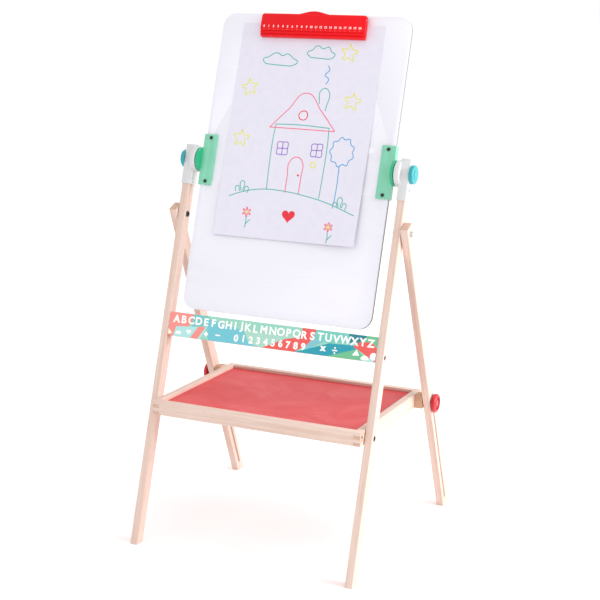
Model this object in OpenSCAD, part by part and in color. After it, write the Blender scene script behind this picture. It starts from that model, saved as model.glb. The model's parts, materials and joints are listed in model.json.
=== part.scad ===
// Folding two-sided easel for a child: two front legs, two slotted back legs, a tray that
// holds the legs apart, and a board that turns between the front legs. Millimetres, +Z up,
// X across the easel, -Y is the child's side. The origin is on the floor, under the middle
// of the easel's box.

/* [Frame] */
// Width over the outer faces of the front legs
frame_w = 465; // [440:5:500]
// Lean of the front legs away from the child, degrees
front_lean = 17.6; // [16:0.2:19]
// Lean of the back legs, degrees
rear_lean = 23.4; // [22:0.2:25]
// Height of the bolts that join the back legs to the front legs
pivot_z = 617; // [600:1:640]
// Height of the axis that the board turns on
axle_z = 721.5; // [715:0.5:740]

/* [Legs] */
// Width of every leg, across the easel
leg_w = 15; // [14:0.5:17]
// Depth of a front leg
leg_d = 22; // [20:0.5:24]
// Depth of a back leg
rear_d = 26; // [24:0.5:28]
// Length of a back leg above its pivot
rear_head = 16; // [14:1:22]
// Radius on the long edges of the legs
edge_r = 1.5; // [0.5:0.5:2]

/* [Tray] */
// Height of the tray's top edge at its pivot bolts
tray_top_z = 273; // [265:1:290]
// How far the tray slopes down towards the back, degrees
tray_tilt = 1; // [0:0.1:2]
// Height of the tray's rails
rail_h = 27; // [25:0.5:30]
// Thickness of the tray's rails
rail_t = 14; // [13:0.5:16]
// How far the tray reaches out in front of its pivot bolts
tray_front_reach = 28; // [24:1:32]
// How far the tray reaches behind its clamp bolts
tray_rear_reach = 26; // [24:1:34]
// Depth of the tray, from the rails' top edge down to the panel
tray_depth = 6.5; // [5:0.5:8]
// Thickness of the tray's panel
panel_t = 3; // [2:0.5:3.5]

/* [Letter rail] */
// Height of the letter rail, along the legs
letter_h = 47; // [40:1:50]
// Distance along the legs from the floor to the rail's lower edge
letter_from = 406; // [395:1:406]
// Depth of the letter rail with its printed strip
letter_d = 16; // [14:0.5:18]
// Height of the letter rail's bolts above its lower edge
letter_bolt_up = 11; // [8:1:24]

/* [Board] */
// Width of the board
board_w = 394; // [380:1:394]
// Height of the board
board_h = 588; // [560:2:588]
// Radius of the board's corners
corner_r = 26; // [15:1:40]
// Thickness of the board's core
core_t = 5; // [4:0.5:6]
// Thickness of each writing sheet
sheet_t = 1; // [0.8:0.1:1.2]
// Tilt of the board at rest, degrees
board_tilt = 18; // [16:0.5:20]

/* [Paper clip] */
// Width of the clip
clip_w = 217; // [200:1:230]
// Height of the clip's jaw
clip_h = 45; // [42:1:48]
// Height of the thumb tab above the jaw
tab_h = 6; // [4:0.5:7]

/* [Paper] */
// Width of the sheet of paper
paper_w = 297; // [210:1:297]
// Length of the sheet of paper
paper_h = 420; // [297:1:420]
// How far the paper hangs to the left of the board's middle
paper_shift = 3; // [0:1:6]

/* [Hidden] */

$fn = 48;
wood = "burlywood";
steel = "silver";
gap = 0.3;                                   // space between pieces that move past each other
run_fit = 0.06;                              // radial play of a shaft that turns in a hole
m6_r = 3;
m5_r = 2.5;

// Front legs
leg_x = frame_w / 2 - leg_w;                 // inner face of a front leg
foot_half = leg_d / 2 / cos(front_lean);
rear_foot_half = rear_d / 2 / cos(rear_lean);
foot_span = foot_half + rear_foot_half + pivot_z * (tan(front_lean) + tan(rear_lean));
front_y0 = foot_half - foot_span / 2;        // front legs' centre line at the floor
pivot_y = front_line(pivot_z);
axle_y = front_line(axle_z);
axle_u = axle_z / cos(front_lean);           // distances u run along the front legs
cap_from = axle_u - 51;
cap_wall = 1.5;
hub_r = 25;
hub_x = 207.3;                               // inner face of the cap's drum
cap_above = 27.5;                            // height of a cap above the axle
hub_end = frame_w / 2 + cap_wall;            // outer face of the cap
counter_r = 5.75;
counter_depth = 4;

// Back legs
washer_t = 0.7;
rear_x = frame_w / 2 + washer_t + gap;       // inner face of a back leg
rear_end = rear_x + leg_w;
slot_r = m6_r + gap;
knob_r = 18.7;
stud_end = rear_end + 9;

// Tray: a_to_p is from the tray's pivot to the legs' pivot, reach from there to the clamp bolt.
// The tray is drawn level and then tilted about its pivot.
bolt_z = tray_top_z - rail_h / 2 - 3;
tray_a_y = front_line(bolt_z);
reach = (pivot_y - tray_a_y + (pivot_z - bolt_z) * tan(rear_lean))
    / (cos(tray_tilt) - sin(tray_tilt) * tan(rear_lean));
clamp_y = tray_a_y + reach * cos(tray_tilt);
clamp_z = bolt_z - reach * sin(tray_tilt);
a_to_p = (pivot_z - bolt_z) / cos(front_lean);
folded = 5.6;                                // angle left between tray and legs, folded
slot_from = (pivot_z - clamp_z) / cos(rear_lean);
slot_to = sqrt(pow(a_to_p, 2) + pow(reach, 2) + 2 * a_to_p * reach * cos(folded)) + 0.2;
tray_side_gap = 1.2;
tray_half = leg_x - tray_side_gap;
tray_front = tray_a_y - tray_front_reach;
tray_back = tray_a_y + reach + tray_rear_reach;
tray_low_z = tray_top_z - rail_h;
panel_z = tray_top_z - tray_depth - panel_t;
groove = 5;
fingers = 4;
tray_screw_z = tray_low_z + rail_h * 0.62;
spacer_front = tray_a_y + reach - 17;
spacer_back = tray_a_y + reach + 9;
spacer_x = frame_w / 2 - 0.2;                // outer face of a spacer
insert_r = 4.5;
insert_len = 10;

// Board
board_t = core_t + 2 * sheet_t;
bracket_w = 28;
bracket_h = 100;
bracket_t = 3;
bracket_x = board_w / 2 + bracket_t + 0.2;   // outer face of a bracket
screw_in = 11.5;                             // bracket screws from the board's edge
screw_up = 43;
disc_r = 24;
disc_x = 205.6;
teeth = 24;

// Clip, in the board's frame: w is the distance out from the board's front face
clip_low = 247;
clip_top = clip_low + clip_h;
pin_w = 7.2;
pin_up = 284;
pin_r = 2;
lug_r = 3.5;
paper_t = 0.4;
paper_top = 275;
base_x = clip_w / 2 - 4;

function front_line(z) = front_y0 + z * tan(front_lean);

// Children are built on the right-hand side and mirrored to the left
module sided(side) {
    if (side < 0) mirror([1, 0, 0]) children();
    else children();
}

module both_sides() {
    for (side = [-1, 1]) sided(side) children();
}

// Children stand on the front legs' centre line, u along it from the floor
module on_front_leg(u) {
    translate([0, front_y0, 0]) rotate([-front_lean, 0, 0]) translate([0, 0, u]) children();
}

// Children lie on the back legs' centre line, a distance down it from the pivot
module on_rear_leg(down) {
    translate([0, pivot_y, pivot_z]) rotate([rear_lean, 0, 0]) translate([0, 0, -down]) children();
}

// Children are in the board's frame: centre on the axle, Z up the board, Y out of its back
module on_board() {
    translate([0, axle_y, axle_z]) rotate([-board_tilt, 0, 0]) children();
}

// Children are built on the level tray and tilted with it
module on_tray() {
    translate([0, tray_a_y, bolt_z]) rotate([-tray_tilt, 0, 0]) translate([0, -tray_a_y, -bolt_z])
        children();
}

module above_floor() {
    intersection() {
        children();
        translate([-500, -500, 0]) cube([1000, 1000, 1200]);
    }
}

// A cylinder along X between two places
module rod_x(r, from, to) {
    translate([from, 0, 0]) rotate([0, 90, 0]) cylinder(r = r, h = to - from);
}

// A cylinder along Y between two places
module rod_y(r, from, to) {
    translate([0, to, 0]) rotate([90, 0, 0]) cylinder(r = r, h = to - from);
}

module rounded_square(w, d, r) {
    translate([r, 0]) square([w - 2 * r, d]);
    translate([0, r]) square([w, d - 2 * r]);
    for (x = [r, w - r]) {
        for (y = [r, d - r]) translate([x, y]) circle(r = r, $fn = 24);
    }
}

// A bar of wood with eased edges, from x across, centred in depth, from low to high
module bar(x, w, d, low, high) {
    translate([x, -d / 2, low]) linear_extrude(high - low) rounded_square(w, d, edge_r);
}

// A round piece about X with its outer rim eased: r is its radius
module puck_x(r, from, to, ease) {
    rotate([0, 90, 0]) rotate_extrude() {
        translate([0, from]) square([r, to - from - ease]);
        translate([0, to - ease]) square([r - ease, ease]);
        translate([r - ease, to - ease]) intersection() {
            circle(r = ease, $fn = 24);
            square(ease);
        }
    }
}

// ---- Front frame ----

module front_leg(side) {
    color(wood) sided(side) difference() {
        above_floor() on_front_leg(0) bar(leg_x, leg_w, leg_d, -leg_d, axle_u - 10);
        translate([0, pivot_y, pivot_z]) rod_x(m6_r, leg_x - 1, frame_w);
        translate([0, tray_a_y, bolt_z]) {
            rod_x(m6_r + run_fit, leg_x - 1, frame_w);
            rod_x(counter_r, frame_w / 2 - counter_depth, frame_w);
        }
        on_front_leg(letter_from + letter_bolt_up) translate([0, (letter_d - leg_d) / 2, 0]) {
            rod_x(m5_r, leg_x - 1, frame_w);
            rod_x(4.6, frame_w / 2 - 3.5, frame_w);
        }
        on_front_leg(axle_u - 30) rod_x(1.5, frame_w / 2 - 12, frame_w);
    }
}
module front_leg_left() { front_leg(-1); }
module front_leg_right() { front_leg(1); }

module letter_rail() {
    color(wood) difference() {
        on_front_leg(letter_from) translate([-leg_x, 1 - leg_d / 2, 0])
            cube([2 * leg_x, letter_d - 1, letter_h]);
        both_sides() on_front_leg(letter_from + letter_bolt_up)
            translate([0, (letter_d - leg_d) / 2, 0]) rod_x(m5_r, leg_x - 30, leg_x + 1);
    }
}

module letter_strip() {
    color("mediumaquamarine") on_front_leg(letter_from) translate([0.3 - leg_x, -leg_d / 2, 0.3])
        cube([2 * leg_x - 0.6, 1, letter_h - 0.6]);
}

module letter_rail_bolts() {
    color(steel) both_sides() on_front_leg(letter_from + letter_bolt_up)
        translate([0, (letter_d - leg_d) / 2, 0]) difference() {
            union() {
                rod_x(m5_r, leg_x - 30, frame_w / 2 - 1);
                rod_x(4.4, frame_w / 2 - 3.5, frame_w / 2 - 0.5);
            }
            translate([frame_w / 2 - 2.4, 0, 0]) rotate([0, 90, 0]) cylinder(r = 2, h = 5, $fn = 6);
        }
}

// Side outline of a cap: a block as deep as the leg with its wall, eased at the top
module cap_outline() {
    half = leg_d / 2 + cap_wall;
    ease = 3;
    low = cap_from - axle_u;
    translate([-half, low]) square([2 * half, cap_above - ease - low]);
    translate([-half + ease, 0]) square([2 * (half - ease), cap_above]);
    for (x = [-1, 1]) translate([x * (half - ease), cap_above - ease]) circle(r = ease, $fn = 24);
}

module leg_cap(side) {
    color("whitesmoke") sided(side) on_front_leg(axle_u) difference() {
        union() {
            translate([leg_x - cap_wall, 0, 0]) rotate([90, 0, 90])
                linear_extrude(leg_w + 2 * cap_wall) cap_outline();
            translate([leg_x, 0, 0]) mirror([1, 0, 0]) puck_x(hub_r, 0, leg_x - hub_x, 2);
        }
        translate([leg_x, -leg_d / 2, -80]) cube([leg_w, leg_d, 70]);
        rod_x(m6_r + run_fit, hub_x - 1, hub_end + 1);
        translate([0, 0, -30]) rod_x(1.5, leg_x + leg_w / 2, frame_w);
    }
}
module leg_cap_left() { leg_cap(-1); }
module leg_cap_right() { leg_cap(1); }

module leg_cap_screws() {
    color("dimgray") both_sides() on_front_leg(axle_u - 30) difference() {
        union() {
            rod_x(1.5, frame_w / 2 - 12, frame_w / 2 + cap_wall);
            translate([frame_w / 2 + cap_wall, 0, 0]) puck_x(3.2, 0, 1.6, 1.2);
        }
        for (turn = [0, 90]) rotate([turn, 0, 0])
            translate([frame_w / 2 + cap_wall + 0.8, -1.8, -0.4]) cube([2, 3.6, 0.8]);
    }
}

module leg_pivot_bolts() {
    color(steel) both_sides() translate([0, pivot_y, pivot_z]) difference() {
        union() {
            rod_x(m6_r, leg_x, rear_end + 4);
            translate([leg_x, 0, 0]) mirror([1, 0, 0]) puck_x(5.5, 0, 2.8, 2.2);
        }
        translate([leg_x - 3, 0, 0]) rotate([0, 90, 0]) cylinder(r = 2.2, h = 2, $fn = 6);
    }
}

module leg_pivot_nuts() {
    color(steel) both_sides() translate([0, pivot_y, pivot_z]) difference() {
        translate([rear_end + gap, 0, 0]) {
            puck_x(6, 0, 1.2, 0.3);
            translate([1.2, 0, 0]) rotate([0, 90, 0]) cylinder(r = 5.2, h = 2, $fn = 6);
            puck_x(4.4, 0, 5.2, 2.4);
        }
        rod_x(m6_r, rear_end, rear_end + 4);
    }
}

module leg_pivot_washers() {
    color("white") both_sides() translate([0, pivot_y, pivot_z]) difference() {
        rod_x(9, frame_w / 2, frame_w / 2 + washer_t);
        rod_x(m6_r, frame_w / 2 - 1, rear_x);
    }
}

// ---- Back legs and their clamps ----

module rear_leg(side) {
    color(wood) sided(side) difference() {
        above_floor() on_rear_leg(0) bar(rear_x, leg_w, rear_d, -800, rear_head);
        on_rear_leg(0) rod_x(m6_r + run_fit, rear_x - 1, rear_end + 1);
        on_rear_leg(slot_to) {
            translate([rear_x - 1, -slot_r, 0]) cube([leg_w + 2, 2 * slot_r, slot_to - slot_from]);
            rod_x(slot_r, rear_x - 1, rear_end + 1);
            translate([0, 0, slot_to - slot_from]) rod_x(slot_r, rear_x - 1, rear_end + 1);
        }
    }
}
module rear_leg_left() { rear_leg(-1); }
module rear_leg_right() { rear_leg(1); }

module clamp_washer(side) {
    color(steel) sided(side) translate([0, clamp_y, clamp_z]) difference() {
        rod_x(9, rear_end + gap, rear_end + gap + 1.2);
        rod_x(m6_r + run_fit, rear_end, rear_end + 3);
    }
}
module clamp_washer_left() { clamp_washer(-1); }
module clamp_washer_right() { clamp_washer(1); }

module clamp_stud(side) {
    color(steel) sided(side) translate([0, clamp_y, clamp_z])
        rod_x(m6_r, rear_x - gap, stud_end);
}
module clamp_stud_left() { clamp_stud(-1); }
module clamp_stud_right() { clamp_stud(1); }

// A round dished knob with a boss in its dish
module clamp_knob(side) {
    from = rear_end + gap + 1.2 + gap;
    neck = 1.5;
    thick = 7.5;
    dish = 3;
    color("crimson") sided(side) translate([0, clamp_y, clamp_z]) difference() {
        union() {
            rod_x(10, from, from + neck + 1);
            translate([from + neck, 0, 0]) difference() {
                puck_x(knob_r, 0, thick, 3);
                translate([thick, 0, 0]) mirror([1, 0, 0]) puck_x(knob_r - 5, -1, dish, 1.5);
            }
            translate([from + neck, 0, 0]) puck_x(7, 0, thick - 0.5, 1.5);
        }
        rod_x(m6_r, rear_end, stud_end);
    }
}
module clamp_knob_left() { clamp_knob(-1); }
module clamp_knob_right() { clamp_knob(1); }

// ---- Tray ----

// One tooth of the comb joint at each of the tray's front corners, on every second level
module corner_teeth(first) {
    tooth = rail_h / fingers;
    both_sides() for (i = [first : 2 : fingers - 1])
        translate([tray_half - rail_t, tray_front, tray_low_z + i * tooth])
            cube([rail_t, rail_t, tooth]);
}

// The space that the panel fills, with its edges in the rails' grooves
module panel_space() {
    half = tray_half - rail_t + groove;
    inset = rail_t - groove;
    translate([-half, tray_front + inset, panel_z])
        cube([2 * half, tray_back - tray_front - 2 * inset, panel_t]);
}

module tray_front_rail() {
    color(wood) on_tray() difference() {
        union() {
            translate([rail_t - tray_half, tray_front, tray_low_z])
                cube([2 * (tray_half - rail_t), rail_t, rail_h]);
            corner_teeth(1);
        }
        panel_space();
        both_sides() tray_screw_shape();
    }
}

module tray_rear_rail() {
    color(wood) on_tray() difference() {
        translate([rail_t - tray_half, tray_back - rail_t, tray_low_z])
            cube([2 * (tray_half - rail_t), rail_t, rail_h]);
        panel_space();
    }
}

module tray_side(side) {
    color(wood) on_tray() difference() {
        union() {
            sided(side) translate([tray_half - rail_t, tray_front + rail_t, tray_low_z])
                cube([rail_t, tray_back - tray_front - rail_t, rail_h]);
            intersection() {
                corner_teeth(0);
                sided(side) translate([0, -500, 0]) cube([500, 1000, 500]);
            }
        }
        panel_space();
        sided(side) translate([0, tray_a_y, bolt_z]) rod_x(insert_r, tray_half - insert_len, frame_w);
        sided(side) tray_screw_shape();
        sided(side) spacer_screw_shape();
    }
}
module tray_side_left() { tray_side(-1); }
module tray_side_right() { tray_side(1); }

module tray_panel() { color("tomato") on_tray() panel_space(); }

module tray_spacer(side) {
    color("peru") on_tray() sided(side) difference() {
        translate([tray_half, spacer_front, tray_low_z])
            cube([spacer_x - tray_half, spacer_back - spacer_front, rail_h]);
        translate([0, tray_a_y + reach, bolt_z]) rod_x(insert_r, spacer_x - insert_len, frame_w);
        spacer_screw_shape();
    }
}
module tray_spacer_left() { tray_spacer(-1); }
module tray_spacer_right() { tray_spacer(1); }

// Threaded sleeves that take the tray's pivot bolts and clamp studs
module tray_inserts() {
    color("goldenrod") on_tray() both_sides() {
        translate([0, tray_a_y, bolt_z]) difference() {
            rod_x(insert_r, tray_half - insert_len, tray_half);
            rod_x(m6_r, tray_half - insert_len - 1, frame_w);
        }
        translate([0, tray_a_y + reach, bolt_z]) difference() {
            rod_x(insert_r, spacer_x - insert_len, spacer_x);
            rod_x(m6_r + 0.1, spacer_x - insert_len + 1, frame_w);
        }
    }
}

module tray_pivot_bolts() {
    head_x = frame_w / 2 - counter_depth + gap;
    color(steel) on_tray() both_sides() translate([0, tray_a_y, bolt_z]) difference() {
        union() {
            rod_x(m6_r, tray_half - insert_len, head_x + 1);
            rod_x(5.2, head_x, head_x + 3.2);
        }
        translate([head_x + 1.4, 0, 0]) rotate([0, 90, 0]) cylinder(r = 2.9, h = 5, $fn = 6);
    }
}

// A flat-headed wood screw along X, its head flush with a face at x
module wood_screw(x, length) {
    rod_x(1.6, x - length, x);
    rod_x(3.2, x - 1.5, x);
}

module tray_screw_shape() {
    translate([0, tray_front + rail_t / 2, tray_screw_z]) wood_screw(tray_half, 28);
}

module spacer_screw_shape() {
    translate([0, spacer_front + 6, tray_low_z + rail_h / 2]) wood_screw(spacer_x, 26);
}

module tray_screws() {
    color("dimgray") on_tray() both_sides() {
        difference() {
            tray_screw_shape();
            translate([tray_half - 0.7, tray_front + rail_t / 2 - 2.2, tray_screw_z - 0.4])
                cube([1, 4.4, 0.8]);
        }
        difference() {
            spacer_screw_shape();
            translate([spacer_x - 0.7, spacer_front + 3.8, tray_low_z + rail_h / 2 - 0.4])
                cube([1, 4.4, 0.8]);
        }
    }
}

// ---- Board ----

// A slab of the board's outline, from one depth to another
module board_slab(from, to) {
    on_board() difference() {
        translate([-board_w / 2, to, -board_h / 2]) rotate([90, 0, 0])
            linear_extrude(to - from) rounded_square(board_w, board_h, corner_r);
        bracket_holes();
        for (x = [-80, 80]) translate([x, 0, 288]) rod_y(1.6, -20, 20);
    }
}

module bracket_holes() {
    for (x = [-1, 1]) {
        for (z = [-screw_up, screw_up])
            translate([x * (board_w / 2 - screw_in), 0, z]) rod_y(1.6, -20, 20);
    }
}

module board_core() { color("gainsboro") board_slab(-core_t / 2, core_t / 2); }
module whiteboard_sheet() { color("white") board_slab(-board_t / 2, -core_t / 2); }
module chalkboard_sheet() { color("darkslategray") board_slab(core_t / 2, board_t / 2); }

// A channel that grips the board's edge
module board_bracket(side) {
    deep = board_t + 2 * bracket_t;
    color("mediumaquamarine") on_board() difference() {
        sided(side) translate([bracket_x - bracket_w, -deep / 2, -bracket_h / 2])
            cube([bracket_w, deep, bracket_h]);
        sided(side) translate([0, -board_t / 2, -bracket_h])
            cube([bracket_x - bracket_t, board_t, 2 * bracket_h]);
        bracket_holes();
        sided(side) rod_x(m6_r, board_w / 2, bracket_x + 1);
        sided(side) for (z = [-1, 1]) translate([bracket_x - bracket_w, 0, z * bracket_h / 2])
            rotate([0, 45, 0]) cube([1.6, 30, 1.6], center = true);
    }
}
module board_bracket_left() { board_bracket(-1); }
module board_bracket_right() { board_bracket(1); }

module bracket_screws() {
    face = board_t / 2 + bracket_t;
    color("dimgray") on_board() for (x = [-1, 1]) {
        for (z = [-screw_up, screw_up]) translate([x * (board_w / 2 - screw_in), 0, z]) {
            difference() {
                union() {
                    rod_y(1.6, -face, face);
                    rotate([0, 0, -90]) translate([face, 0, 0]) puck_x(3.4, 0, 2, 1.4);
                }
                translate([-2, -face - 2.5, -0.45]) cube([4, 1.5, 0.9]);
                translate([-0.45, -face - 2.5, -2]) cube([0.9, 1.5, 4]);
            }
            translate([0, face + 2.4, 0]) rotate([90, 0, 0]) cylinder(r = 3.6, h = 2.4, $fn = 6);
        }
    }
}

// The toothed disc that locks the board's tilt against the cap's hub
module index_disc(side) {
    color("mediumseagreen") on_board() sided(side) difference() {
        union() {
            translate([bracket_x, 0, 0]) puck_x(disc_r, 0, disc_x - bracket_x, 1);
            for (i = [0 : teeth - 1]) rotate([i * 360 / teeth, 0, 0])
                translate([disc_x - 0.5, -0.8, disc_r - 10]) cube([1.4, 1.6, 8]);
        }
        rod_x(m6_r, bracket_x - 1, disc_x + 3);
        rod_x(6.2, bracket_x - 1, bracket_x + 4);
    }
}
module index_disc_left() { index_disc(-1); }
module index_disc_right() { index_disc(1); }

module board_axles() {
    color(steel) on_board() both_sides() {
        rod_x(m6_r, bracket_x, hub_end + 7);
        rod_x(6.2, bracket_x, bracket_x + 4);
    }
}

module board_knob(side) {
    grips = 20;
    from = hub_end + gap;
    color("turquoise") on_board() sided(side) difference() {
        union() {
            translate([from, 0, 0]) puck_x(17.5, 0, 8, 2.5);
            translate([from, 0, 0]) puck_x(9, 0, 9, 0.8);
        }
        for (i = [0 : grips - 1]) rotate([i * 360 / grips, 0, 0])
            translate([0, 0, 18.3]) rod_x(1.4, from + 1.5, from + 10);
        rod_x(m6_r + run_fit, hub_end, hub_end + 7 + gap);
    }
}
module board_knob_left() { board_knob(-1); }
module board_knob_right() { board_knob(1); }

// ---- Paper clip ----

// Children are drawn in a side view, w out from the board's face and up the board, and are
// given a width across the board
module clip_side_view(from, to) {
    on_board() translate([from, -board_t / 2, 0]) rotate([90, 0, 90])
        linear_extrude(to - from) mirror([1, 0]) children();
}

module clip_rod(r, from, to) {
    on_board() translate([0, -board_t / 2 - pin_w, pin_up]) rod_x(r, from, to);
}

module clip_base() {
    color("firebrick") difference() {
        union() {
            clip_side_view(-base_x, base_x) translate([0, 276.5]) square([3, 14]);
            for (x = [-60, -20, 20, 60]) clip_side_view(x - 2, x + 2) {
                translate([0, pin_up - lug_r]) square([pin_w, 2 * lug_r]);
                translate([pin_w, pin_up]) circle(r = lug_r);
            }
        }
        clip_rod(pin_r, -base_x, base_x);
        on_board() for (x = [-80, 80]) translate([x, 0, 288]) rod_y(1.6, -20, 20);
    }
}

module clip_base_rivets() {
    color(steel) on_board() for (x = [-80, 80]) translate([x, 0, 288]) {
        rod_y(1.6, -board_t / 2 - 3, board_t / 2);
        rod_y(2.8, -board_t / 2 - 4, -board_t / 2 - 3);
        rod_y(2.8, board_t / 2, board_t / 2 + 1);
    }
}

module clip_pin() { color(steel) clip_rod(pin_r, -clip_w / 2 + 0.5, clip_w / 2 - 0.5); }

// Two torsion springs, as coils side by side with a leg against the jaw and the base
module clip_spring() {
    wire = 0.5;
    coils = 6;
    color(steel) for (x = [-40, 40]) {
        on_board() translate([x, -board_t / 2 - pin_w, pin_up]) for (i = [0 : coils - 1])
            translate([(i - coils / 2) * 2.1 * wire, 0, 0]) rotate([0, 90, 0])
                rotate_extrude() translate([pin_r + wire + 0.05, 0]) circle(r = wire, $fn = 16);
        clip_side_view(x - coils * wire, x - (coils - 2) * wire) polygon([
            [pin_w - 3.4, pin_up], [pin_w - 2.4, pin_up], [pin_w - 3.6, pin_up - 12],
            [pin_w - 4.6, pin_up - 12]
        ]);
    }
}

// Section of the jaw: its outer line from the lip up to the top edge, and the same line
// shifted inwards by the wall
function jaw_outer() = [
    [1, clip_low], [9.5, clip_low + 1], [10.8, clip_low + 4.2], [9, clip_low + 5.4],
    [12.4, clip_low + 7.6], [12.6, clip_low + 9.6], [10.8, clip_low + 11], [13.8, clip_low + 13.6],
    [14, clip_low + 20], [13.6, clip_low + 36], [12.6, clip_top - 3], [11.4, clip_top]
];
function jaw_inner() = [
    [9.4, clip_top], [10.6, clip_top - 4], [11.6, clip_low + 36], [12, clip_low + 20],
    [11.2, clip_low + 15], [8.8, clip_low + 10.4], [7, clip_low + 4], [1, clip_low + 2.4]
];

module clip_jaw() {
    tab_half = 33;
    steps = 24;
    end_w = 2;
    corner = 4;
    color("red") difference() {
        union() {
            clip_side_view(-clip_w / 2, clip_w / 2) polygon(concat(jaw_outer(), jaw_inner()));
            for (x = [-clip_w / 2, clip_w / 2 - end_w]) clip_side_view(x, x + end_w)
                polygon(concat(jaw_outer(), [[5, clip_top - 1], [1, 276]]));
            on_board() translate([0, -board_t / 2 - 9.4, 0]) rotate([90, 0, 0]) linear_extrude(2)
                polygon(concat([[tab_half, clip_top - 2], [-tab_half, clip_top - 2]], [
                    for (i = [0 : steps]) let (x = tab_half * (2 * i / steps - 1))
                        [x, clip_top + tab_h * pow((1 + cos(180 * x / tab_half)) / 2, 0.7)]
                ]));
        }
        clip_rod(pin_r + run_fit, -clip_w, clip_w);
        on_board() both_sides() translate([clip_w / 2 - corner, 0, clip_top - corner])
            rotate([90, 0, 0]) linear_extrude(100, center = true) difference() {
                square(corner + 1);
                circle(r = corner);
            }
    }
}

module drawing_sheet() {
    color("white") on_board()
        translate([-paper_w / 2 - paper_shift, -board_t / 2 - paper_t, paper_top - paper_h])
            cube([paper_w, paper_t, paper_h]);
}

front_leg_left();
front_leg_right();
letter_rail();
letter_strip();
letter_rail_bolts();
leg_cap_left();
leg_cap_right();
leg_cap_screws();
leg_pivot_bolts();
leg_pivot_nuts();
leg_pivot_washers();
rear_leg_left();
rear_leg_right();
clamp_washer_left();
clamp_washer_right();
clamp_stud_left();
clamp_stud_right();
clamp_knob_left();
clamp_knob_right();
tray_front_rail();
tray_rear_rail();
tray_side_left();
tray_side_right();
tray_panel();
tray_spacer_left();
tray_spacer_right();
tray_inserts();
tray_pivot_bolts();
tray_screws();
board_core();
whiteboard_sheet();
chalkboard_sheet();
board_bracket_left();
board_bracket_right();
bracket_screws();
index_disc_left();
index_disc_right();
board_axles();
board_knob_left();
board_knob_right();
clip_base();
clip_base_rivets();
clip_pin();
clip_spring();
clip_jaw();
drawing_sheet();
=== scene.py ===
"""Children's two-sided easel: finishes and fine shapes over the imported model.

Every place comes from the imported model, in metres. Sizes inside the classes are millimetres
unless a docstring says otherwise, and MM turns them into metres.
"""

import json
import logging
import math
import random
from dataclasses import dataclass, field
from enum import Enum
from typing import ClassVar

import bpy
from mathutils import Matrix, Vector


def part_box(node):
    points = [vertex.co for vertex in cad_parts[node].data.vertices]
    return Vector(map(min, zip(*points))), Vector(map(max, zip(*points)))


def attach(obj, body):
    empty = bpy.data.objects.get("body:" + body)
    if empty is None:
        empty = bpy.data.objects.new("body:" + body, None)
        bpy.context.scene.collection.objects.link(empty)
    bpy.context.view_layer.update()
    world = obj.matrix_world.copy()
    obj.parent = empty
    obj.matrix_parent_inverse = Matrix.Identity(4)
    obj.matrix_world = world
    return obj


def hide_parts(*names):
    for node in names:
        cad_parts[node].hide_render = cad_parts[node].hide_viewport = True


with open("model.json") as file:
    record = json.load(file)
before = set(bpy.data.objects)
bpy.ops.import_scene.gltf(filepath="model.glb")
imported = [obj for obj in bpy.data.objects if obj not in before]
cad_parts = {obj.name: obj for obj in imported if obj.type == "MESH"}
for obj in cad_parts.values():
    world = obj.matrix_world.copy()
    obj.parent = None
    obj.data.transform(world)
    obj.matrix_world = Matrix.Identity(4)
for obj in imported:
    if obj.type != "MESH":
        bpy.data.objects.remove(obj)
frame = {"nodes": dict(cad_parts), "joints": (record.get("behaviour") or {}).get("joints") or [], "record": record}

MM = 0.001
log = logging.getLogger("easel")
Colour = tuple[float, float, float]
Point = tuple[float, float]


def shade(red: int, green: int, blue: int) -> Colour:
    """Turns a screen colour into the shader's linear one.

    Args:
        red: Red, 0 to 255.
        green: Green, 0 to 255.
        blue: Blue, 0 to 255.

    Returns:
        The same colour as three linear numbers.
    """
    return tuple(
        c / 12.92 if c <= 0.04045 else ((c + 0.055) / 1.055) ** 2.4
        for c in (red / 255, green / 255, blue / 255)
    )


def joint_pin(name: str) -> Vector:
    """Gives the place of a joint's pin.

    Args:
        name: The joint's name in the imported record.

    Returns:
        The pin's place in metres.
    """
    return next(Vector(j["pos_m"]) for j in frame["joints"] if j["name"] == name)


# ---- Finishes ----


class Grain(Enum):
    """Which way the fibres of a wooden part run: a lean about X in degrees, and the stretch."""

    FRONT_LEG = (-17.6, (1.0, 1.0, 34.0))
    BACK_LEG = (23.4, (1.0, 1.0, 34.0))
    ACROSS = (0.0, (34.0, 1.0, 1.0))
    FORE_AND_AFT = (0.0, (1.0, 34.0, 1.0))


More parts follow.
